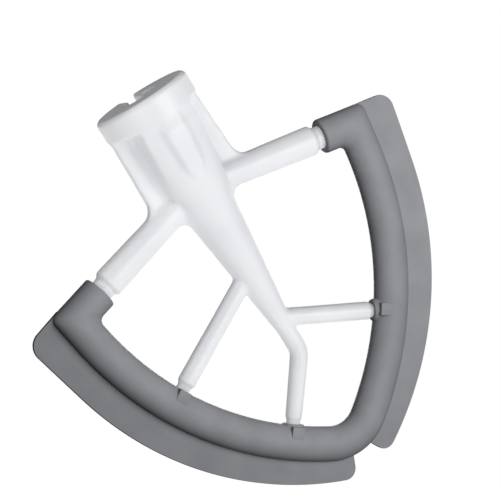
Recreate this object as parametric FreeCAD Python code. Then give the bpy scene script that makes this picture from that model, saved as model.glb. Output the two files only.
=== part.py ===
"""Flat beater for a stand mixer: one coated die-cast frame in one overmoulded soft edge.

Frame of the part: the origin is the mouth of the shaft bore, +Z runs up the hub
axis towards the mixer, +X runs across the beater, the front faces -Y. Millimetres.
"""
import FreeCAD, Part
import math
import os

V = FreeCAD.Vector

# Shaft, pin and their clearances
SHAFT_R = 6.35
SHAFT_CLEARANCE = 0.15
BORE_R = SHAFT_R + SHAFT_CLEARANCE
BORE_DEPTH = 32.0
PIN_R = 2.38
PIN_CLEARANCE = 0.32
SLOT_R = PIN_R + PIN_CLEARANCE
SLOT_Z = -15.0
SLOT_TURN = 38.0
SLOT_SEAT_RISE = 1.8

# Hub
COLLAR_R = 17.35
COLLAR_H = 8.7
COLLAR_EDGE = 1.0
WEB_X = 16.9
WEB_HALF = 1.9
WEB_ARC = 5.5
BOSS_X = 10.4
BOSS_FILLET = 2.4
BACK_R = 15.2
BACK_END = -27.0
RIDGE_UPPER_Z = -14.0
RIDGE_LOWER_Z = -27.0
RIDGE_END_Z = -34.5
RIDGE_UPPER_HALF = 3.4
RIDGE_LOWER_HALF = 2.6
RIDGE_END_HALF = 0.8
RIDGE_FLANK = 2.4
RIDGE_RISE = 1.6
CROTCH_ARC = 4.2
CROTCH_HALF = 1.8

# Spine: a cone that thins into a bent strut
SPINE_Z0 = -46.5
SPINE_R0 = 8.9
SPINE_Z1 = -95.0
SPINE_R1 = 3.15
BEND_Z = -104.5
BEND_R = 8.0
BEND_ANGLE = 39.0
STRUT_END_R = 2.85

# Arms: slope down outwards and thicken towards their shoulders
ARM_AXIS_Z = -36.32
ARM_SLOPE = 12.5
ARM_R0 = 4.65
ARM_R1 = 5.25
ARM_SHOULDER_X = 44.5
ARM_NECK_R = 4.0
SLEEVE_END_X = 47.3

# Spokes: height on the axis, slope below level
LEFT_SPOKE_Z = -70.8
LEFT_SPOKE_SLOPE = 25.4
RIGHT_SPOKE_Z = -90.4
RIGHT_SPOKE_SLOPE = 30.8
SPOKE_R = 3.15
SPOKE_NECK_R = 2.4
SHOULDER_GAP = 1.8
SHOULDER_EDGE = 0.8

# Ring: two arcs that cross over, joined by a small arc at the bottom
RING_CX = 56.3
RING_CZ = -42.1
RING_R = 116.2
APEX_R = 15.0
LEG_LENGTH = 9.0
TUBE_R = 6.15
CORE_HALF = 2.9
SLEEVE_EDGE = 0.8
SPOKE_LIP_RISE = 1.2
STRUT_LIP_RISE = 0.5
LIP_TIP_R = 3.75
LIP_BASE_R = 4.7
KEY_WIDTH = 4.2
KEY_BACK = 2.6
KEY_SINK = 3.0
KEY_PROUD = 0.35
KEY_DROP = 0.15

# Wiper fins: straight at the top, then an arc set off from the ring's, narrower downwards
FIN_GROW = 2.4
FIN_SHIFT = 13.3
FIN_DROP = 4.85
FIN_FLARE = 12.7
FIN_ROOT_HALF = 1.15
FIN_LIP_HALF = 0.65
FIN_LEAN = 1.3
FIN_TOP_CORNER = 5.5
FIN_END_X = 4.2
FIN_END_DROP = 0.35
FIN_END_TILT = 27.0
FIN_END_CORNER = 4.2


def at(x, z):
    return V(x, 0, z)


def heading(angle):
    """Unit vector in the XZ plane, the angle counted from +X towards +Z."""
    return at(math.cos(math.radians(angle)), math.sin(math.radians(angle)))


def rod(start, end, r0, r1):
    way = end - start
    if abs(r0 - r1) < 1e-9:
        return Part.makeCylinder(r0, way.Length, start, way)
    return Part.makeCone(r0, r1, way.Length, start, way)


def shouldered_rod(start, end, r0, r1, edge):
    """Rod whose far rim is bevelled."""
    body = rod(start, end, r0, r1)
    rims = [e for e in body.Edges if e.Closed and (e.CenterOfMass - end).Length < 1e-3]
    return body.makeChamfer(edge, rims)


def arc_rod(centre, radius, thickness, a0, a1):
    """Round bar bent along an arc in the XZ plane."""
    seat = centre + heading(a0) * radius
    ring = Part.Wire(Part.makeCircle(thickness, seat, V(0, 0, 1).cross(V(0, 1, 0))))
    face = Part.Face(ring)
    face.rotate(seat, V(0, -1, 0), a0 + 90.0)
    return face.revolve(centre, V(0, -1, 0), a1 - a0)


def arc_bar(centre, radius, half, a0, a1):
    """Square bar bent along an arc in the XZ plane."""
    section = [(half, -half), (half, half), (-half, half), (-half, -half), (half, -half)]
    face = Part.Face(Part.makePolygon([centre + V(radius + n, y, 0) for n, y in section]))
    face.rotate(centre, V(0, -1, 0), a0)
    return face.revolve(centre, V(0, -1, 0), a1 - a0)


def outline(corners, level):
    """Closed wire at height level through (x, y, radius) corners, rounded where radius > 0."""
    points = [V(x, y, level) for x, y, r in corners]
    count = len(points)
    starts = []
    arcs = []
    for i in range(count):
        here = points[i]
        back = points[i - 1] - here
        ahead = points[(i + 1) % count] - here
        back.normalize()
        ahead.normalize()
        r = corners[i][2]
        half = math.acos(max(-1.0, min(1.0, back.dot(ahead)))) / 2.0
        if r <= 0.0:
            starts.append((here, here))
            arcs.append(None)
            continue
        cut = r / math.tan(half)
        axis = back + ahead
        axis.normalize()
        middle = here + axis * (r / math.sin(half) - r)
        starts.append((here + back * cut, here + ahead * cut))
        arcs.append(middle)
    edges = []
    for i in range(count):
        first, last = starts[i]
        if arcs[i] is not None:
            edges.append(Part.Arc(first, arcs[i], last).toShape())
        following = starts[(i + 1) % count][0]
        if (following - last).Length > 1e-6:
            edges.append(Part.LineSegment(last, following).toShape())
    return Part.Wire(edges)


def turned(shape):
    """The same shape on the other side: half a turn about the hub axis."""
    other = shape.copy()
    other.rotate(V(0, 0, 0), V(0, 0, 1), 180.0)
    return other


def crossing(point, way, other, other_way):
    """Where two lines in the XZ plane cross."""
    gap = other - point
    turn = way.x * other_way.z - way.z * other_way.x
    return point + way * ((gap.x * other_way.z - gap.z * other_way.x) / turn)


def reach(start, way, centre, radius):
    """Distance along a ray to where it leaves a circle."""
    gap = start - centre
    b = gap.dot(way)
    return -b + math.sqrt(b * b - gap.dot(gap) + radius ** 2)


def side_centre(side):
    """Centre of the ring's arc on one side: +1 right, -1 left."""
    return at(-side * RING_CX, RING_CZ)


# Places shared by both pieces
ARM_WAY = heading(-ARM_SLOPE)
ARM_START = at(0, ARM_AXIS_Z)


def on_arm(x):
    return ARM_START + ARM_WAY * (x / ARM_WAY.x)


RING_CENTRE = side_centre(1)
APEX_CENTRE = at(0, RING_CZ - math.sqrt((RING_R - APEX_R) ** 2 - RING_CX ** 2))
MEETING = ARM_START + ARM_WAY * reach(ARM_START, ARM_WAY, RING_CENTRE, RING_R)
MEETING_ANGLE = math.degrees(math.atan2(MEETING.z - RING_CZ, MEETING.x + RING_CX))
LEG_ANGLE = MEETING_ANGLE - math.degrees(LEG_LENGTH / RING_R)
LEG_FOOT = RING_CENTRE + heading(LEG_ANGLE) * RING_R
LEG_WAY = heading(LEG_ANGLE - 90.0)
APEX_ANGLE = math.degrees(math.atan2(APEX_CENTRE.z - RING_CZ, RING_CX))

# The straight legs and the sleeves share their corners
CORNER = crossing(ARM_START, ARM_WAY, LEG_FOOT, LEG_WAY)

FIN_R = RING_R + FIN_GROW
FIN_CENTRE = RING_CENTRE + at(FIN_SHIFT, -FIN_DROP)
FIN_END = at(FIN_END_X, APEX_CENTRE.z - APEX_R - TUBE_R - FIN_END_DROP)

LEFT_WAY = heading(180.0 + LEFT_SPOKE_SLOPE)
LEFT_START = at(0, LEFT_SPOKE_Z)
RIGHT_WAY = heading(-RIGHT_SPOKE_SLOPE)
RIGHT_START = at(0, RIGHT_SPOKE_Z)
STRUT_WAY = heading(270.0 - BEND_ANGLE)
STRUT_START = at(0, BEND_Z)
SPOKES = [
    (LEFT_START, LEFT_WAY, -1, SPOKE_R, SPOKE_R, 0.0),
    (RIGHT_START, RIGHT_WAY, 1, SPOKE_R, SPOKE_R, SPOKE_LIP_RISE),
    (STRUT_START, STRUT_WAY, -1, SPINE_R1, STRUT_END_R, STRUT_LIP_RISE),
]


# Hub: collar, front that tapers from the collar into the spine, ridge, round back
def front_radius(z):
    share = (z + COLLAR_H) / (SPINE_Z0 + COLLAR_H)
    return COLLAR_R + (SPINE_R0 - COLLAR_R) * share


def ridge_section(z, half, rise):
    """Trapezium across the ridge at height z, its top standing out by rise."""
    top = -front_radius(z) - rise
    foot = -front_radius(z) + 1.5
    wide = half + RIDGE_FLANK
    corners = [(-wide, foot), (-half, top), (half, top), (wide, foot), (-wide, foot)]
    return Part.makePolygon([V(x, y, z) for x, y in corners])


def make_hub():
    collar = Part.makeCylinder(COLLAR_R, COLLAR_H, V(0, 0, -COLLAR_H))
    rims = [e for e in collar.Edges if e.Closed]
    collar = collar.makeChamfer(COLLAR_EDGE, [e for e in rims if e.CenterOfMass.z > -0.1])

    low = COLLAR_H / 2.0
    side = BOSS_X + BOSS_FILLET + 0.2
    front = COLLAR_R + 2.0
    block = Part.Face(outline([
        (side, WEB_HALF, 0.0),
        (side, -WEB_HALF, 0.0),
        (BOSS_X, -WEB_HALF, BOSS_FILLET),
        (BOSS_X, -front, 0.0),
        (-BOSS_X, -front, 0.0),
        (-BOSS_X, -WEB_HALF, BOSS_FILLET),
        (-side, -WEB_HALF, 0.0),
        (-side, WEB_HALF, 0.0),
    ], SPINE_Z0)).extrude(V(0, 0, -SPINE_Z0 - low))
    bell = Part.Face(Part.makePolygon([
        V(0, 0, -low),
        V(COLLAR_R, 0, -low),
        V(COLLAR_R, 0, -COLLAR_H),
        V(SPINE_R0, 0, SPINE_Z0),
        V(0, 0, SPINE_Z0),
        V(0, 0, -low),
    ])).revolve(V(0, 0, 0), V(0, 0, 1), 360.0)
    boss = block.common(bell)

    ridge = Part.makeLoft([
        ridge_section(-COLLAR_H, RIDGE_UPPER_HALF, -0.3),
        ridge_section(RIDGE_UPPER_Z, RIDGE_UPPER_HALF, RIDGE_RISE),
        ridge_section(RIDGE_LOWER_Z, RIDGE_LOWER_HALF, RIDGE_RISE),
        ridge_section(RIDGE_END_Z, RIDGE_END_HALF, -0.3),
    ], True, True)

    half = Part.Face(Part.makePolygon([
        V(0, 0, -low),
        V(BACK_R, 0, -low),
        V(BACK_R, 0, BACK_END),
        V(SPINE_R0, 0, SPINE_Z0),
        V(0, 0, SPINE_Z0),
        V(0, 0, -low),
    ]))
    back = half.revolve(V(0, 0, 0), V(0, 0, 1), 180.0)
    return collar.multiFuse([boss, ridge, back])


def make_crotch():
    """Right-hand gusset: rounds the corner between the arm and the tapering body."""
    up = V(-ARM_WAY.z, 0, ARM_WAY.x)
    base = ARM_START - up * ARM_R0
    down = at(SPINE_R1 - SPINE_R0, SPINE_Z1 - SPINE_Z0)
    down.normalize()
    foot = crossing(base, ARM_WAY, at(SPINE_R0, SPINE_Z0), down)
    half = math.acos(ARM_WAY.dot(down)) / 2.0
    inward = ARM_WAY + down
    inward.normalize()
    cut = CROTCH_ARC / math.tan(half)
    first = foot + ARM_WAY * cut
    last = foot + down * cut
    middle = foot + inward * (CROTCH_ARC / math.sin(half) - CROTCH_ARC)
    root = foot - inward * 3.0
    wire = Part.Wire([
        Part.Arc(first, middle, last).toShape(),
        Part.LineSegment(last, root).toShape(),
        Part.LineSegment(root, first).toShape(),
    ])
    plate = Part.Face(wire).extrude(V(0, 2.0 * CROTCH_HALF, 0))
    plate.translate(V(0, -CROTCH_HALF, 0))
    return plate


def make_web():
    """Right-hand web: plate from the collar down to the arm, hollowed into it by an arc."""
    up = V(-ARM_WAY.z, 0, ARM_WAY.x)
    top = ARM_START + up * ARM_R0
    foot = top + ARM_WAY * (WEB_X / ARM_WAY.x)
    half = math.radians(90.0 + ARM_SLOPE) / 2.0
    cut = WEB_ARC / math.tan(half)
    first = foot + V(0, 0, cut)
    last = foot + ARM_WAY * cut
    inward = V(0, 0, 1) + ARM_WAY
    inward.normalize()
    middle = foot + inward * (WEB_ARC / math.sin(half) - WEB_ARC)
    inner = V(BOSS_X - 2.0, 0, 0)
    wire = Part.Wire([
        Part.LineSegment(V(inner.x, 0, -COLLAR_H / 2.0), V(WEB_X, 0, -COLLAR_H / 2.0)).toShape(),
        Part.LineSegment(V(WEB_X, 0, -COLLAR_H / 2.0), first).toShape(),
        Part.Arc(first, middle, last).toShape(),
        Part.LineSegment(last, last - up * ARM_R0).toShape(),
        Part.LineSegment(last - up * ARM_R0, V(inner.x, 0, ARM_AXIS_Z - 2.0)).toShape(),
        Part.LineSegment(V(inner.x, 0, ARM_AXIS_Z - 2.0), V(inner.x, 0, -COLLAR_H / 2.0)).toShape(),
    ])
    plate = Part.Face(wire).extrude(V(0, 2.0 * WEB_HALF, 0))
    plate.translate(V(0, -WEB_HALF, 0))
    return plate


# Bayonet slot: way in from the top, a turn, and a seat above the turn
def make_slot():
    far = COLLAR_R + 2.0
    entry = Part.makeBox(2.0 * SLOT_R, far, 2.0 - SLOT_Z, V(-SLOT_R, 0, SLOT_Z))
    heel = Part.makeCylinder(SLOT_R, far, V(0, 0, SLOT_Z), V(0, 1, 0))
    window = Part.Face(Part.makePolygon([
        V(0, 0, SLOT_Z - SLOT_R),
        V(0, far, SLOT_Z - SLOT_R),
        V(0, far, SLOT_Z + SLOT_R),
        V(0, 0, SLOT_Z + SLOT_R),
        V(0, 0, SLOT_Z - SLOT_R),
    ]))
    turn = window.revolve(V(0, 0, 0), V(0, 0, 1), -SLOT_TURN)
    seat = Part.makeBox(2.0 * SLOT_R, far, SLOT_SEAT_RISE, V(-SLOT_R, 0, SLOT_Z))
    seat = seat.fuse(Part.makeCylinder(SLOT_R, far, V(0, 0, SLOT_Z + SLOT_SEAT_RISE), V(0, 1, 0)))
    seat = seat.fuse(heel)
    seat.rotate(V(0, 0, 0), V(0, 0, 1), -SLOT_TURN)
    return entry.multiFuse([heel, turn, seat])


def make_bore():
    return Part.makeCylinder(BORE_R, BORE_DEPTH + 1.0, V(0, 0, -BORE_DEPTH))


# Core bar of the ring, hidden in the soft edge
def make_core():
    side = arc_bar(RING_CENTRE, RING_R, CORE_HALF, MEETING_ANGLE, APEX_ANGLE)
    neck = rod(on_arm(ARM_SHOULDER_X - 2.0), CORNER + ARM_WAY * CORE_HALF, ARM_NECK_R, ARM_NECK_R)
    right = side.fuse(neck)
    apex = arc_bar(APEX_CENTRE, APEX_R, CORE_HALF, APEX_ANGLE, -180.0 - APEX_ANGLE)
    return right.multiFuse([apex, turned(right)])


def make_frame():
    arm = shouldered_rod(on_arm(3.0), on_arm(ARM_SHOULDER_X), ARM_R0, ARM_R1, SHOULDER_EDGE)
    web = make_web()
    crotch = make_crotch()
    pieces = [arm, turned(arm), web, turned(web), crotch, turned(crotch), make_core()]
    pieces.append(rod(at(0, SPINE_Z0), at(0, SPINE_Z1), SPINE_R0, SPINE_R1))

    run = BEND_R * math.tan(math.radians(BEND_ANGLE / 2.0))
    pieces.append(rod(at(0, SPINE_Z1), at(0, BEND_Z + run), SPINE_R1, SPINE_R1))
    pieces.append(arc_rod(at(-BEND_R, BEND_Z + run), BEND_R, SPINE_R1, 0.0, -BEND_ANGLE))
    for start, way, side, r0, r1, rise in SPOKES:
        first = start
        if start is STRUT_START:
            first = start + way * run
        end = start + way * (reach(start, way, side_centre(side), RING_R - TUBE_R) - SHOULDER_GAP)
        pieces.append(shouldered_rod(first, end, r0, r1, SHOULDER_EDGE))
        meeting = start + way * reach(start, way, side_centre(side), RING_R)
        pieces.append(rod(end - way, meeting, SPOKE_NECK_R, SPOKE_NECK_R))
    solid = make_hub().multiFuse(pieces)
    solid = solid.cut(make_bore().fuse(make_slot()))
    return solid.removeSplitter()


# Soft edge: tube and sleeves, lips, key pads, fins
def half_space(point, normal):
    """Large block on the side of the plane that the normal points to."""
    size = 400.0
    block = Part.makeBox(size, size, size, V(-size / 2.0, -size / 2.0, 0))
    block.Placement = FreeCAD.Placement(point, FreeCAD.Rotation(V(0, 0, 1), normal)).multiply(block.Placement)
    return block


def make_tube():
    split = ARM_WAY + LEG_WAY
    split.normalize()
    sleeve = rod(on_arm(SLEEVE_END_X), CORNER + ARM_WAY * 12.0, TUBE_R, TUBE_R)
    rims = [e for e in sleeve.Edges if e.Closed and (e.CenterOfMass - on_arm(SLEEVE_END_X)).Length < 1e-3]
    sleeve = sleeve.makeChamfer(SLEEVE_EDGE, rims)
    sleeve = sleeve.common(half_space(CORNER, split * -1.0))
    leg = rod(CORNER - LEG_WAY * 12.0, LEG_FOOT, TUBE_R, TUBE_R)
    leg = leg.common(half_space(CORNER, split))
    side = arc_rod(RING_CENTRE, RING_R, TUBE_R, LEG_ANGLE, APEX_ANGLE)
    right = sleeve.multiFuse([leg, side])
    apex = arc_rod(APEX_CENTRE, APEX_R, TUBE_R, -180.0 - APEX_ANGLE, APEX_ANGLE)
    return right.multiFuse([apex, turned(right)])


def make_lip(start, way, side, rise):
    limb = reach(start, way, side_centre(side), RING_R - TUBE_R)
    return rod(start + way * (limb + 2.2), start + way * (limb - rise), LIP_BASE_R, LIP_TIP_R)


def make_keys(start, way, side):
    """Front and back pads at a spoke's way in, just below the crest of the tube."""
    place = start + way * reach(start, way, side_centre(side), RING_R)
    inward = side_centre(side) - place
    angle = math.degrees(math.atan2(inward.z, inward.x))
    keys = []
    depth = TUBE_R - KEY_DROP - KEY_SINK
    for y in (-KEY_SINK - depth, KEY_SINK):
        corner = V(KEY_BACK, y, -KEY_WIDTH / 2.0)
        pad = Part.makeBox(TUBE_R + KEY_PROUD - KEY_BACK, depth, KEY_WIDTH, corner)
        pad.rotate(V(0, 0, 0), V(0, -1, 0), angle)
        pad.translate(place)
        keys.append(pad)
    return keys


def fin_plan():
    """Upright prism on the right-hand fin's outline, its two lip corners rounded."""
    up = V(-ARM_WAY.z, 0, ARM_WAY.x)
    top = CORNER + up * TUBE_R
    outward = heading(-FIN_FLARE)
    tangent = FIN_CENTRE + outward * FIN_R
    corner = crossing(top, ARM_WAY, tangent, heading(90.0 - FIN_FLARE))
    down = heading(FIN_END_TILT - 90.0)
    low = FIN_END + down * reach(FIN_END, down, FIN_CENTRE, FIN_R)
    middle = (tangent + low) * 0.5 - FIN_CENTRE
    middle.normalize()
    wire = Part.Wire([
        Part.LineSegment(top, corner).toShape(),
        Part.LineSegment(corner, tangent).toShape(),
        Part.Arc(tangent, FIN_CENTRE + middle * FIN_R, low).toShape(),
        Part.LineSegment(low, FIN_END - down * TUBE_R).toShape(),
        Part.LineSegment(FIN_END - down * TUBE_R, top).toShape(),
    ])
    prism = Part.Face(wire).extrude(V(0, 20, 0))
    prism.translate(V(0, -10, 0))
    for place, radius in ((corner, FIN_TOP_CORNER), (low, FIN_END_CORNER)):
        upright = [e for e in prism.Edges if (e.CenterOfMass - place).Length < 1e-3]
        prism = prism.makeFillet(radius, upright)
    return prism


def make_fin():
    """Right-hand wiper fin: a leaning tapered strip, trimmed to its outline."""
    root = RING_R + TUBE_R - 3.0
    tip = RING_R + TUBE_R + 18.0
    slant = FIN_LEAN / 11.0
    thin = (FIN_ROOT_HALF - FIN_LIP_HALF) / 11.0
    section = []
    for radius, way in [(root, -1.0), (tip, -1.0), (tip, 1.0), (root, 1.0), (root, -1.0)]:
        out = radius - RING_R - TUBE_R
        section.append(RING_CENTRE + V(radius, slant * out + way * (FIN_ROOT_HALF - thin * out), 0))
    strip = Part.Face(Part.makePolygon(section))
    strip.rotate(RING_CENTRE, V(0, -1, 0), 4.0)
    band = strip.revolve(RING_CENTRE, V(0, -1, 0), -72.0)
    return band.common(fin_plan())


def make_edge(frame):
    solid = make_tube()
    extras = []
    for start, way, side, r0, r1, rise in SPOKES:
        extras.extend(make_keys(start, way, side))
        if rise > 0.0:
            extras.append(make_lip(start, way, side, rise))
    fin = make_fin()
    extras.extend([fin, turned(fin)])
    return solid.multiFuse(extras).cut(frame).removeSplitter()


frame = make_frame()
edge = make_edge(frame)
os.makedirs("parts", exist_ok=True)
for name, shape in [("frame_casting", frame), ("flex_edge", edge)]:
    body = shape.Solids[0] if len(shape.Solids) == 1 else shape
    body.exportStep("parts/" + name + ".step")
    box = body.BoundBox
    print(name, "solids", len(shape.Solids), "valid", shape.isValid(), "volume", round(shape.Volume),
          [round(v, 2) for v in (box.XMin, box.XMax, box.YMin, box.YMax, box.ZMin, box.ZMax)])
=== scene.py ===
# %% [markdown]
# # A flat beater with a soft wiper edge
#
# The real object is a die-cast aluminium frame with a smooth white coating, held in
# one grey elastomer moulding that grips its ring and ends in thin wiper fins. This
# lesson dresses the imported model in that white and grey, on a pale studio floor.

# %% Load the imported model
import math

import bmesh
import bpy
from mathutils import Matrix, Vector


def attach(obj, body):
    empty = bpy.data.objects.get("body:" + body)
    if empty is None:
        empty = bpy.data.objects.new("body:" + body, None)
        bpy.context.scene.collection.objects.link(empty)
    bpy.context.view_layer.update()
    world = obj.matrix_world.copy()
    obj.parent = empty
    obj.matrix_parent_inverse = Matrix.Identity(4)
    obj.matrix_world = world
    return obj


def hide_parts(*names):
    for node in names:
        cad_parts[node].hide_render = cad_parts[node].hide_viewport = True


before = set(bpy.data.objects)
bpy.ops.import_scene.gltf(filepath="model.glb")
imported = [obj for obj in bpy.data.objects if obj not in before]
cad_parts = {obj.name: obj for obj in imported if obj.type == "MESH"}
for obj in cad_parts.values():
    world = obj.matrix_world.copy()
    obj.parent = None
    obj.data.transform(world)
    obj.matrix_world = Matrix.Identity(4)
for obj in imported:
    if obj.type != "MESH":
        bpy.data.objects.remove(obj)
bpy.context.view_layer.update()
print("packed nodes:", sorted(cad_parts))

# %% [markdown]
# ## The part's main sizes
#
# The soft edge is modelled again here, so its sizes are written once, in the
# millimetres that a drawing would use. They are the drawing's own: a ring of two
# large arcs and a small one, a round tube about that line, and fins whose lip starts
# straight and then follows an arc of another centre, so that they narrow downwards.

# %% Sizes in millimetres
RING_CENTRE = Vector((-56.3, 0, -42.1))
RING_R = 116.2
APEX_R = 15.0
TUBE_R = 6.15
LEG_LENGTH = 9.0
ARM_START = Vector((0, 0, -36.32))
ARM_SLOPE = 12.5
ARM_NECK_R = 4.0
SLEEVE_END_X = 47.3
FIN_CENTRE = RING_CENTRE + Vector((13.3, 0, -4.85))
FIN_R = 118.6
FIN_FLARE = 12.7


def heading(degrees):
    """Unit vector in the XZ plane, counted from +X towards +Z."""
    a = math.radians(degrees)
    return Vector((math.cos(a), 0, math.sin(a)))


def angle_of(v):
    """A vector's heading in the XZ plane, in degrees."""
    return math.degrees(math.atan2(v.z, v.x))


def crossing(point, way, other, other_way):
    """Where two lines in the XZ plane cross."""
    gap = other - point
    turn = way.x * other_way.z - way.z * other_way.x
    return point + way * ((gap.x * other_way.z - gap.z * other_way.x) / turn)


def ray_to_circle(start, way, centre, radius):
    """Distance along a ray to the far crossing of a circle."""
    gap = start - centre
    b = gap.dot(way)
    return -b + math.sqrt(b * b - gap.dot(gap) + radius * radius)


arm_way = heading(-ARM_SLOPE)
arm_up = Vector((-arm_way.z, 0, arm_way.x))
apex_drop = math.sqrt((RING_R - APEX_R) ** 2 - RING_CENTRE.x ** 2)
apex_centre = Vector((0, 0, RING_CENTRE.z - apex_drop))
meeting = ARM_START + arm_way * ray_to_circle(ARM_START, arm_way, RING_CENTRE, RING_R)
leg_angle = angle_of(meeting - RING_CENTRE) - math.degrees(LEG_LENGTH / RING_R)
apex_angle = angle_of(apex_centre - RING_CENTRE)
leg_foot = RING_CENTRE + heading(leg_angle) * RING_R
leg_way = heading(leg_angle - 90)
corner = crossing(ARM_START, arm_way, leg_foot, leg_way)
print("ring corner at", [round(c, 1) for c in corner], "mm")

# %% [markdown]
# ## The coated casting
#
# A casting has no sharp inside corner, because metal wouldn't fill it, and its
# coating rounds every outside edge a little more. Fillets on each joint by hand
# would take many steps, so the solid's mesh is copied, made even by a voxel remesh,
# and relaxed: each edge then gets a radius of under half a millimetre. The packed
# mesh is in metres, so the sizes used on it are too.

# %% Remesh the casting
MERGE_DISTANCE = 0.000002
VOXEL = 0.00044

casting = bpy.data.objects.new("coated_casting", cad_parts["frame_casting"].data.copy())
bpy.context.collection.objects.link(casting)
bm = bmesh.new()
bm.from_mesh(casting.data)
bmesh.ops.remove_doubles(bm, verts=bm.verts, dist=MERGE_DISTANCE)
bm.to_mesh(casting.data)
bm.free()
even = casting.modifiers.new("even", "REMESH")
even.mode = "VOXEL"
even.voxel_size = VOXEL
even.use_smooth_shade = True
depsgraph = bpy.context.evaluated_depsgraph_get()
even_mesh = bpy.data.meshes.new_from_object(casting.evaluated_get(depsgraph))
casting.modifiers.clear()
casting.data = even_mesh
print("remeshed casting has", len(even_mesh.polygons), "faces")

# %% [markdown]
# The ring bar inside the moulding is never seen, so the remeshed skin is cut away
# there. What then isn't joined to the hub any more is dropped as well, and the cut
# necks are closed again with fans of triangles, well inside the grey. The ring's
# sizes are in millimetres, so the distance from it is measured in them.

# %% Drop the hidden ring bar
RING_TOP_Z = -0.040
HIDDEN_MM = 4.6
MM_PER_METRE = 1000


def from_ring_line(p):
    """Distance in millimetres from the ring's centre line."""
    q = Vector((abs(p.x) * MM_PER_METRE, p.y * MM_PER_METRE, p.z * MM_PER_METRE))
    from_arc = q - RING_CENTRE
    from_apex = q - apex_centre
    offset, radius = (from_arc, RING_R)
    if q.z < apex_centre.z and angle_of(from_apex) < apex_angle:
        offset, radius = (from_apex, APEX_R)
    flat = math.hypot(offset.x, offset.z) - radius
    return math.hypot(flat, q.y)


bm = bmesh.new()
bm.from_mesh(even_mesh)
hidden = [v for v in bm.verts if v.co.z < RING_TOP_Z and from_ring_line(v.co) < HIDDEN_MM]
bmesh.ops.delete(bm, geom=hidden, context="VERTS")
joined = {max(bm.verts, key=lambda v: v.co.z)}
newest = list(joined)
while newest:
    near = {e.other_vert(v) for v in newest for e in v.link_edges}
    newest = [v for v in near if v not in joined]
    joined.update(newest)
strays = [v for v in bm.verts if v not in joined]
bmesh.ops.delete(bm, geom=strays, context="VERTS")
print("dropped", len(hidden), "hidden and", len(strays), "stray vertices")
caps = bmesh.ops.holes_fill(bm, edges=[e for e in bm.edges if e.is_boundary], sides=0)["faces"]
bmesh.ops.poke(bm, faces=caps)
print("closed", len(caps), "necks")

# %% [markdown]
# Now every vertex moves a few times towards the middle of its neighbours. The body
# below the collar is softer on the real casting, so it is relaxed for longer than
# the rest. Relaxing pulls thin rods in slightly, so the skin is pushed back out
# along its normals.

# %% Relax the skin
RELAX_STEPS = 4
BODY_STEPS = 11
BODY_HALF_WIDTH = 0.026
BODY_BOTTOM_Z = -0.100
BODY_TOP_Z = -0.0075
PUSH_BACK = 0.00008

body = [v for v in bm.verts if abs(v.co.x) < BODY_HALF_WIDTH and BODY_BOTTOM_Z < v.co.z < BODY_TOP_Z]
for verts, steps in ((bm.verts, RELAX_STEPS), (body, BODY_STEPS)):
    for step in range(steps):
        bmesh.ops.smooth_vert(bm, verts=verts, factor=0.5,
                              use_axis_x=True, use_axis_y=True, use_axis_z=True)
bm.normal_update()
for v in bm.verts:
    v.co += v.normal * PUSH_BACK
bm.to_mesh(even_mesh)
bm.free()
even_mesh.shade_smooth()
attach(casting, "root")
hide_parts("frame_casting")
print("casting skin has", sum(len(face.vertices) - 2 for face in even_mesh.polygons), "triangles")

# %% [markdown]
# ## The soft tube
#
# The elastomer tube is one circle carried along the ring. It is drawn in
# millimetres, and these helpers shorten its steps. Spin turns what it is given about
# an axis: counted from +X towards +Z, a positive turn is a turn about -Y.

# %% Helpers for meshes
def facing(place, way):
    """Matrix that carries +Z to a direction in the XZ plane and the origin to a place."""
    side = Vector((0, 1, 0))
    third = side.cross(way)
    turn = Matrix((third, side, way)).transposed().to_4x4()
    return Matrix.Translation(place) @ turn


def everything(bm):
    """All of a mesh's vertices, edges and faces."""
    return bm.verts[:] + bm.edges[:] + bm.faces[:]


def only_verts(geom):
    """The vertices among what an operator gives back."""
    return [g for g in geom if isinstance(g, bmesh.types.BMVert)]


def edges_at(verts):
    """Every edge that ends at one of some vertices, once each."""
    return list({e for v in verts for e in v.link_edges})


def spin(bm, geom, centre, degrees, steps):
    """Turns geometry about a centre in the XZ plane and gives back its last copy."""
    turned = bmesh.ops.spin(bm, geom=geom, cent=centre, axis=(0, -1, 0), dvec=(0, 0, 0),
                            angle=math.radians(degrees), steps=steps, use_duplicate=False)
    return turned["geom_last"]


def ease(bm, edges, width, segments):
    """Rounds edges with a bevel."""
    bmesh.ops.bevel(bm, geom=edges, affect="EDGES", offset=width, segments=segments,
                    profile=0.5, material=-1)


# %% [markdown]
# The straight sleeve and the straight leg are extruded past each other and cut on
# the plane that halves their angle, so both cuts are the same ellipse and close on
# each other. At the sleeve's mouth a narrower rim turns in to the arm's neck.

# %% Sleeve and mouth of one half
ROUND = 56
PAST_CORNER = 10
ON_PLANE = 0.0001
TOLERANCE = 0.01
MOUTH_FIT = 0.98
MOUTH_EASE = 0.8

halving = (arm_way + leg_way).normalized()
sleeve_end = ARM_START + arm_way * (SLEEVE_END_X / arm_way.x)


def straight_tube(foot, way, length):
    """A new mesh of a circle carried along a straight line."""
    bm = bmesh.new()
    circle = bmesh.ops.create_circle(bm, segments=ROUND, radius=TUBE_R, matrix=facing(foot, way))
    drawn = bmesh.ops.extrude_edge_only(bm, edges=edges_at(circle["verts"]))["geom"]
    bmesh.ops.translate(bm, vec=way * length, verts=only_verts(drawn))
    return bm


def cut_at_corner(bm, clear_outer):
    """Cuts on the plane that halves the corner and clears one of its two sides."""
    bmesh.ops.bisect_plane(bm, geom=everything(bm), dist=ON_PLANE, plane_co=corner, plane_no=halving,
                           clear_outer=clear_outer, clear_inner=not clear_outer)


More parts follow.
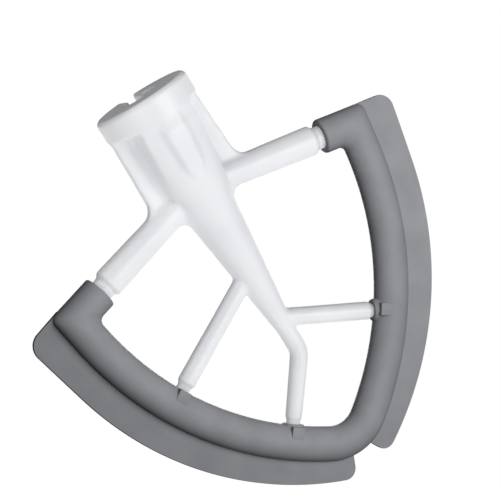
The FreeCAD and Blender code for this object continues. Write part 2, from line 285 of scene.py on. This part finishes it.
bm = straight_tube(sleeve_end, arm_way, (corner - sleeve_end).length + PAST_CORNER)
cut_at_corner(bm, clear_outer=True)
rim = [e for e in bm.edges if e.is_boundary and (e.verts[0].co - sleeve_end).dot(arm_way) < TOLERANCE]
inner = only_verts(bmesh.ops.extrude_edge_only(bm, edges=rim)["geom"])
bmesh.ops.scale(bm, vec=(ARM_NECK_R / TUBE_R * MOUTH_FIT,) * 3, verts=inner,
                space=Matrix.Translation(-sleeve_end))
ease(bm, rim, MOUTH_EASE, segments=3)
print("sleeve's mouth of", len(rim), "edges eased")

# %% [markdown]
# The leg's other end is spun about the large arc's centre, and then about the small
# one's, as far as the lowest point under the hub. A bevel on the ellipse gives the
# moulding's rounded corner.

# %% Leg, arc and apex of one half
LEG_REACH = 24
ARC_STEPS = 60
APEX_STEPS = 12
WELD_DISTANCE = 0.02
CORNER_EASE = 2.2

half = straight_tube(leg_foot, leg_way, -LEG_REACH)
cut_at_corner(half, clear_outer=False)
loop = [e for e in half.edges
        if e.is_boundary and abs((e.verts[0].co - leg_foot).dot(leg_way)) < TOLERANCE]
profile = loop + list({v for e in loop for v in e.verts})
last = spin(half, profile, RING_CENTRE, apex_angle - leg_angle, ARC_STEPS)
spin(half, last, apex_centre, -90 - apex_angle, APEX_STEPS)
leg_and_arcs = bpy.data.meshes.new("leg_and_arcs")
half.to_mesh(leg_and_arcs)
half.free()
bm.from_mesh(leg_and_arcs)
bmesh.ops.remove_doubles(bm, verts=bm.verts, dist=WELD_DISTANCE)
bmesh.ops.recalc_face_normals(bm, faces=bm.faces)
mitre = [e for e in bm.edges if all(abs((v.co - corner).dot(halving)) < TOLERANCE for v in e.verts)]
ease(bm, mitre, CORNER_EASE, segments=8)
print("mitre of", len(mitre), "edges bevelled")

# %% [markdown]
# The other half is the same half turned about the hub's axis, and the two meet
# under the hub.

# %% Turn a copy to the other side
def add_turned_copy(bm):
    """Copies everything and turns the copy half a circle about the hub's axis."""
    copy = bmesh.ops.duplicate(bm, geom=everything(bm))["geom"]
    half_turn = Matrix.Rotation(math.pi, 3, "Z")
    bmesh.ops.rotate(bm, cent=(0, 0, 0), matrix=half_turn, verts=only_verts(copy))


add_turned_copy(bm)
bmesh.ops.remove_doubles(bm, verts=bm.verts, dist=WELD_DISTANCE)
open_edges = [e for e in bm.edges if e.is_boundary]
bmesh.ops.holes_fill(bm, edges=open_edges, sides=0)
print("closed", len(open_edges), "open edges, round the two sleeves' mouths")

# %% [markdown]
# ## Lips and key pads
#
# Where a spoke enters, the moulding rises in a small collar round it, and two flat
# pads show where the mould's pins held the casting in place. A collar is a short
# cone and a pad is a cube, each with its edges eased by a bevel. The upper spoke on
# the left enters with no collar, so its rise is 0.

# %% Lips and pads at the spokes
LIP_ROUND = 48
LIP_TOP_R = 3.75
LIP_FOOT_R = 4.7
LIP_SUNK = 2.2
LIP_EASE = 0.3
PAD_SIZE = (4.4, 3.0, 4.8)
PAD_INWARD = 3.6
PAD_FORWARD = 4.4
PAD_EASE = 0.25
# For each spoke: its start on the hub's axis, its way, its side, and its collar's rise.
SPOKES = [
    (Vector((0, 0, -70.8)), heading(180 + 25.4), -1, 0.0),
    (Vector((0, 0, -90.4)), heading(-30.8), 1, 1.2),
    (Vector((0, 0, -104.5)), heading(270 - 39.0), -1, 0.5),
]


def add_lip(bm, place, way, rise):
    """Adds a cone round a spoke and eases the rims of its two ends."""
    cone = bmesh.ops.create_cone(bm, cap_ends=True, segments=LIP_ROUND, radius1=LIP_TOP_R,
                                 radius2=LIP_FOOT_R, depth=rise + LIP_SUNK, matrix=facing(place, way))
    edges = edges_at(cone["verts"])
    rims = [e for e in edges if any(len(face.verts) == LIP_ROUND for face in e.link_faces)]
    ease(bm, rims, LIP_EASE, segments=2)


def add_pad(bm, place, inward):
    """Adds a cube with eased edges that faces the ring's inside."""
    stretch = Matrix.Diagonal((*PAD_SIZE, 1))
    pad = bmesh.ops.create_cube(bm, size=1, matrix=facing(place, inward) @ stretch)
    ease(bm, edges_at(pad["verts"]), PAD_EASE, segments=2)


for start, way, side, rise in SPOKES:
    centre = Vector((side * RING_CENTRE.x, 0, RING_CENTRE.z))
    place = start + way * ray_to_circle(start, way, centre, RING_R)
    if rise > 0:
        to_tube = ray_to_circle(start, way, centre, RING_R - TUBE_R)
        add_lip(bm, start + way * (to_tube + (LIP_SUNK - rise) / 2), way, rise)
    inward = (centre - place).normalized()
    for front in (-1, 1):
        add_pad(bm, place + inward * PAD_INWARD + Vector((0, front * PAD_FORWARD, 0)), inward)
print("tube, lips and pads have", len(bm.faces), "faces")

# %% [markdown]
# A piece is drawn in millimetres, so it is scaled to metres before it becomes an
# object. Its edges look smooth up to an angle, and sharp past it.

# %% Hand the tube to an object
METRES_PER_MM = 0.001
SHARP_FROM = math.radians(35)


def finish_piece(bm, name):
    """Scales to metres, turns the faces outwards and hands the mesh to a new object."""
    bmesh.ops.recalc_face_normals(bm, faces=bm.faces)
    bmesh.ops.scale(bm, vec=(METRES_PER_MM,) * 3, verts=bm.verts)
    mesh = bpy.data.meshes.new(name)
    bm.to_mesh(mesh)
    bm.free()
    piece = bpy.data.objects.new(name, mesh)
    bpy.context.collection.objects.link(piece)
    mesh.shade_smooth()
    mesh.set_sharp_from_angle(angle=SHARP_FROM)
    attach(piece, "root")
    print(name, "has", len(mesh.polygons), "faces")
    return piece


soft_tube = finish_piece(bm, "soft_tube")

# %% [markdown]
# ## The wiper fins
#
# Each fin is a thin strip that leans with the turn. Its outline is a round corner at
# the top, a straight run, a long arc, and a smaller round corner at the lower end.
# First the two corners' centres are found, each from the lines or the arc that its
# corner has to touch.

# %% Where the fin's outline turns
TOP_CORNER = 5.5
END_CORNER = 4.2
END_X = 4.2
PAST_TUBE = 0.35
END_WAY = heading(27.0)

top_start = corner + arm_up * TUBE_R
outward = heading(-FIN_FLARE)
tangent = FIN_CENTRE + outward * FIN_R
top_centre = crossing(top_start - arm_up * TOP_CORNER, arm_way,
                      tangent - outward * TOP_CORNER, heading(90 - FIN_FLARE))
end_point = Vector((END_X, 0, apex_centre.z - APEX_R - TUBE_R - PAST_TUBE))
down_end = Vector((END_WAY.z, 0, -END_WAY.x))
end_start = end_point + END_WAY * END_CORNER
end_centre = end_start + down_end * ray_to_circle(end_start, down_end, FIN_CENTRE, FIN_R - END_CORNER)
end_angle = angle_of(end_centre - FIN_CENTRE)
print("fin's lip is an arc from", -FIN_FLARE, "to", round(end_angle, 1), "degrees about its centre")

# %% [markdown]
# A vertex that is spun draws an arc, and one that is extruded draws a line, so the
# outline is one chain. The root is another, inside the tube, with as many steps.
# Bridging the two gives the strip. A vertex group then says how thick the wall is at
# each vertex, from its distance to the tube, and the same distance gives the lean.

# %% Build the strip and lean it
TOP_STEPS = 10
STRAIGHT_STEPS = 8
LIP_STEPS = 62
END_STEPS = 8
ROOT_DEPTH = 3.0
FIN_WIDTH = 11
ROOT_HALF = 1.15
LIP_HALF = 0.65
LEAN = 1.3

bm = bmesh.new()
tip = bmesh.ops.create_vert(bm, co=top_centre + arm_up * TOP_CORNER)["vert"]
last = spin(bm, tip, top_centre, -FIN_FLARE - angle_of(arm_up), TOP_STEPS)
stride = (tangent - top_centre - outward * TOP_CORNER) / STRAIGHT_STEPS
for step in range(STRAIGHT_STEPS):
    last = bmesh.ops.extrude_vert_indiv(bm, verts=last)["verts"]
    bmesh.ops.translate(bm, vec=stride, verts=last)
last = spin(bm, last, FIN_CENTRE, end_angle + FIN_FLARE, LIP_STEPS)
spin(bm, last, end_centre, angle_of(-END_WAY) - end_angle, END_STEPS)
root_r = RING_R + TUBE_R - ROOT_DEPTH
root_start = top_start + arm_way * ray_to_circle(top_start, arm_way, RING_CENTRE, root_r)
root_angle = angle_of(root_start - RING_CENTRE)
root_turn = angle_of(end_point - down_end * ROOT_DEPTH - RING_CENTRE) - root_angle
base = bmesh.ops.create_vert(bm, co=RING_CENTRE + heading(root_angle) * root_r)["vert"]
spin(bm, base, RING_CENTRE, root_turn, TOP_STEPS + STRAIGHT_STEPS + LIP_STEPS + END_STEPS)
bmesh.ops.bridge_loops(bm, edges=bm.edges[:])
wall = bm.verts.layers.deform.verify()
for v in bm.verts:
    out = (v.co - RING_CENTRE).length - RING_R - TUBE_R
    v[wall][0] = 1 - (1 - LIP_HALF / ROOT_HALF) * out / FIN_WIDTH
    v.co.y = LEAN * out / FIN_WIDTH
print("strip has", len(bm.faces), "faces")

# %% [markdown]
# The other fin is the same strip turned half a circle about the hub's axis, not
# mirrored, because both lean with the direction in which the beater turns. Solidify
# gives both a wall that thins towards the lip, through the vertex group, and a bevel
# eases its rim.

# %% Turn the second fin and thicken both
RIM_EASE = 0.00030
RIM_ANGLE = math.radians(50)

add_turned_copy(bm)
wiper_fins = finish_piece(bm, "wiper_fins")
wiper_fins.vertex_groups.new(name="wall")
thick = wiper_fins.modifiers.new("wall", "SOLIDIFY")
thick.thickness = 2 * ROOT_HALF / MM_PER_METRE
thick.offset = 0
thick.vertex_group = "wall"
eased = wiper_fins.modifiers.new("eased rim", "BEVEL")
eased.width = RIM_EASE
eased.segments = 3
eased.limit_method = "ANGLE"
eased.angle_limit = RIM_ANGLE
eased.harden_normals = True
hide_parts("flex_edge")
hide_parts("flex_edge")
print("fins' wall", 2 * ROOT_HALF, "mm at the root,", 2 * LIP_HALF, "mm at the lip")

# %% [markdown]
# ## Materials
#
# A colour is written in sRGB, while the shader works in linear light, so one function converts it.
# Another adds a node with its settings and its links, which keeps each material to a few lines.

# %% Helpers for materials
def linear(hex_code):
    """The linear light of a colour written in sRGB."""
    parts = [int(hex_code[i:i + 2], 16) / 255 for i in (1, 3, 5)]
    return [c / 12.92 if c <= 0.04045 else ((c + 0.055) / 1.055) ** 2.4 for c in parts] + [1]


def add_node(tree, kind, settings=None, links=None):
    """Adds a node; settings are its properties or inputs, links feed its inputs."""
    node = tree.nodes.new(kind)
    for key, value in (settings or {}).items():
        if isinstance(key, str) and hasattr(node, key):
            setattr(node, key, value)
        else:
            node.inputs[key].default_value = value
    for key, source in (links or {}).items():
        tree.links.new(source, node.inputs[key])
    return node


def new_material(name):
    """A material with an empty node tree."""
    material = bpy.data.materials.new(name)
    material.use_nodes = True
    material.node_tree.nodes.clear()
    return material, material.node_tree


def wear(piece, material):
    """Gives a piece its only material."""
    piece.data.materials.clear()
    piece.data.materials.append(material)
    print("material", material.name, "on", piece.name)


# %% [markdown]
# ## White coating on the casting
#
# The frame is powder-coated aluminium. The coating is baked on as a smooth film of
# near-white polyester: it hides the metal completely, is glossy with slightly soft
# edges to its highlights, and has a faint orange peel about 1.5 mm across. Where the
# film pools it is a touch brighter, so the colour drifts by a percent or two. A
# noise's scale is one over the real size of its pattern, in metres.

# %% White powder coating
POOL_SIZE = 0.022
PEEL_SIZE = 0.0015
RAMP_ENDS = (0.3, 0.7)

white_coating, tree = new_material("white_powder_coating")
coords = add_node(tree, "ShaderNodeTexCoord")
drift = add_node(tree, "ShaderNodeTexNoise", {"Scale": 1 / POOL_SIZE, "Detail": 2.0},
                 {"Vector": coords.outputs["Object"]})
tone = add_node(tree, "ShaderNodeValToRGB", {}, {"Fac": drift.outputs["Fac"]})
for element, end, hex_code in zip(tone.color_ramp.elements, RAMP_ENDS, ("#EDEEF2", "#F4F5F7")):
    element.position = end
    element.color = linear(hex_code)
peel = add_node(tree, "ShaderNodeTexNoise", {"Scale": 1 / PEEL_SIZE, "Detail": 1.0},
                {"Vector": coords.outputs["Object"]})
gloss = add_node(tree, "ShaderNodeMapRange", {"To Min": 0.26, "To Max": 0.34},
                 {"Value": peel.outputs["Fac"]})
relief = add_node(tree, "ShaderNodeBump", {"Strength": 0.10, "Distance": 0.00005},
                  {"Height": peel.outputs["Fac"]})
skin = add_node(tree, "ShaderNodeBsdfPrincipled", {"IOR": 1.5},
                {"Base Color": tone.outputs["Color"], "Roughness": gloss.outputs["Result"],
                 "Normal": relief.outputs["Normal"]})
add_node(tree, "ShaderNodeOutputMaterial", {}, {"Surface": skin.outputs["BSDF"]})
wear(casting, white_coating)

# %% [markdown]
# ## Grey elastomer
#
# The soft edge is a thermoplastic elastomer moulded over the casting. Its mould is
# spark-eroded, which leaves a fine matte grain of about 0.1 mm. That is too fine to
# show at this distance, so it is drawn at 0.35 mm. Such a skin has next to no gloss,
# so its specular level is set below the usual half.

# %% Matte moulded elastomer
CLOUD_SIZE = 0.012
GRAIN_SIZE = 0.00035

elastomer, tree = new_material("grey_moulded_elastomer")
coords = add_node(tree, "ShaderNodeTexCoord")
cloudy = add_node(tree, "ShaderNodeTexNoise", {"Scale": 1 / CLOUD_SIZE, "Detail": 3.0},
                  {"Vector": coords.outputs["Object"]})
tone = add_node(tree, "ShaderNodeValToRGB", {}, {"Fac": cloudy.outputs["Fac"]})
for element, end, hex_code in zip(tone.color_ramp.elements, RAMP_ENDS, ("#7C7D81", "#858689")):
    element.position = end
    element.color = linear(hex_code)
grain = add_node(tree, "ShaderNodeTexNoise", {"Scale": 1 / GRAIN_SIZE, "Detail": 2.0},
                 {"Vector": coords.outputs["Object"]})
matte = add_node(tree, "ShaderNodeMapRange", {"To Min": 0.55, "To Max": 0.70},
                 {"Value": grain.outputs["Fac"]})
relief = add_node(tree, "ShaderNodeBump", {"Strength": 0.25, "Distance": 0.00006},
                  {"Height": grain.outputs["Fac"]})
rubber = add_node(tree, "ShaderNodeBsdfPrincipled", {"IOR": 1.48, "Specular IOR Level": 0.2},
                  {"Base Color": tone.outputs["Color"], "Roughness": matte.outputs["Result"],
                   "Normal": relief.outputs["Normal"]})
add_node(tree, "ShaderNodeOutputMaterial", {}, {"Surface": rubber.outputs["BSDF"]})
for piece in (soft_tube, wiper_fins):
    wear(piece, elastomer)

# %% [markdown]
# ## Floor and light
#
# The beater hangs in the air as it does on its shaft, well above a wide pale floor, so its shadow falls
# out of view. The floor's glow is painted light that stands for a white studio's bounce. It is dimmer
# right under the part, where it shows as painted shade.

# %% Floor
FLOOR_Z = -0.45
FLOOR_REACH = 60

bm = bmesh.new()
bmesh.ops.create_grid(bm, x_segments=1, y_segments=1, size=FLOOR_REACH)
bmesh.ops.translate(bm, vec=(0, 0, FLOOR_Z), verts=bm.verts)
floor_mesh = bpy.data.meshes.new("floor")
bm.to_mesh(floor_mesh)
bm.free()
floor = bpy.data.objects.new("floor", floor_mesh)
bpy.context.collection.objects.link(floor)
paper, tree = new_material("white_paper")
coords = add_node(tree, "ShaderNodeTexCoord")
away = add_node(tree, "ShaderNodeVectorMath", {"operation": "LENGTH"}, {0: coords.outputs["Object"]})
# Painted light: the floor glows in place of a studio's bounce, and it glows less near the part, which
# shows as painted shade under it.
glow = add_node(tree, "ShaderNodeMapRange",
                {"From Min": 0.46, "From Max": 0.62, "To Min": 0.66, "To Max": 0.95},
                {"Value": away.outputs["Value"]})
sheet = add_node(tree, "ShaderNodeBsdfPrincipled",
                 {"Base Color": linear("#FBFBFB"), "Roughness": 0.9, "Emission Color": linear("#FFFFFF")},
                 {"Emission Strength": glow.outputs["Result"]})
add_node(tree, "ShaderNodeOutputMaterial", {}, {"Surface": sheet.outputs["BSDF"]})
wear(floor, paper)
print("floor at", FLOOR_Z, "m")

# %% [markdown]
# White paint and dark rubber want different exposures, and a studio photographer
# masks lamps so that each lights one of them. Light linking does the same: the tube,
# the fins and the casting have a key of their own. Of the three, the floor's glow
# reaches only the casting, so the tube's far sides stay dark. One lamp stands behind
# the soft edge, straight across from the camera, and shows its back in other views.

# %% Soft boxes
AIM = Vector((0, 0, -0.07))


def light_only(source, pieces):
    """Keeps the light of a lamp or a glowing object to the pieces given."""
    lit = bpy.data.collections.new(source.name + "_lights")
    for piece in pieces:
        lit.objects.link(piece)
    source.light_linking.receiver_collection = lit


def soft_box(name, place, size, watts, pieces):
    """Adds a square lamp that faces the part and lights only the pieces given."""
    light = bpy.data.lights.new(name, "AREA")
    light.shape = "SQUARE"
    light.size = size
    light.energy = watts
    lamp = bpy.data.objects.new(name, light)
    lamp.location = place
    lamp.rotation_euler = (AIM - Vector(place)).to_track_quat("-Z", "Y").to_euler()
    bpy.context.collection.objects.link(lamp)
    light_only(lamp, pieces)


light_only(floor, [casting, floor])
soft_box("tube_key", (0.10, -0.47, -0.04), 0.3, 3.0, [soft_tube])
soft_box("fin_key", (0.27, -0.38, -0.13), 0.3, 2.8, [wiper_fins])
soft_box("edge_back", (0.24, 0.85, -0.26), 0.6, 7.0, [soft_tube, wiper_fins])
soft_box("frame_key", (0.50, -0.95, -0.10), 0.6, 3.3, [casting])
soft_box("frame_fill", (-0.70, -0.85, 0.25), 0.8, 2.0, [casting])
soft_box("top_fill", (-0.15, -0.25, 0.80), 0.8, 3.0, [casting])

# %% [markdown]
# The sky is white to the camera and dim to everything else, so the background is
# pale and the pieces keep their shades. The Standard view shows each colour as it
# was picked.

# %% Sky
world = bpy.data.worlds.new("white_room")
world.use_nodes = True
sky = world.node_tree.nodes["Background"]
sky.inputs["Color"].default_value = linear("#FFFFFF")
path = add_node(world.node_tree, "ShaderNodeLightPath")
bright = add_node(world.node_tree, "ShaderNodeMapRange", {"To Min": 0.06, "To Max": 1.0},
                  {"Value": path.outputs["Is Camera Ray"]})
world.node_tree.links.new(bright.outputs["Result"], sky.inputs["Strength"])
bpy.context.scene.world = world
bpy.context.scene.view_settings.view_transform = "Standard"
print("sky:", world.name)

# %% [markdown]
# ## Camera
#
# The photograph was taken a little from the left and from above, with the camera
# rolled, so the hub's axis leans in the picture. The camera looks at a point near
# the middle of the part from 0.6 m. Its focal length was fitted in pixels of a
# frame 500 pixels wide, and the sensor's width turns it into millimetres.

# %% Camera at the photograph's angle
AZIMUTH, ELEVATION, ROLL = (math.radians(d) for d in (-15.73, 12.42, -32.17))
DISTANCE = 0.600
TARGET = Vector((0.00418, 0, -0.06504))
FOCAL_PIXELS = 1746.07
FRAME_PIXELS = 500
SENSOR_WIDTH = 36
FAR_CLIP = 200

back = Vector((math.sin(AZIMUTH) * math.cos(ELEVATION), -math.cos(AZIMUTH) * math.cos(ELEVATION),
               math.sin(ELEVATION)))
level = Vector((math.cos(AZIMUTH), math.sin(AZIMUTH), 0))
upright = back.cross(level)
right = level * math.cos(ROLL) + upright * math.sin(ROLL)
up = upright * math.cos(ROLL) - level * math.sin(ROLL)
lens = bpy.data.cameras.new("camera")
lens.sensor_fit = "HORIZONTAL"
lens.sensor_width = SENSOR_WIDTH
lens.lens = FOCAL_PIXELS * SENSOR_WIDTH / FRAME_PIXELS
lens.clip_end = FAR_CLIP
camera = bpy.data.objects.new("camera", lens)
turn = Matrix((right, up, back)).transposed().to_4x4()
camera.matrix_world = Matrix.Translation(TARGET + back * DISTANCE) @ turn
bpy.context.collection.objects.link(camera)
bpy.context.scene.camera = camera
print("camera at", [round(c, 4) for c in camera.matrix_world.translation])
print("lens", round(lens.lens, 1), "mm")
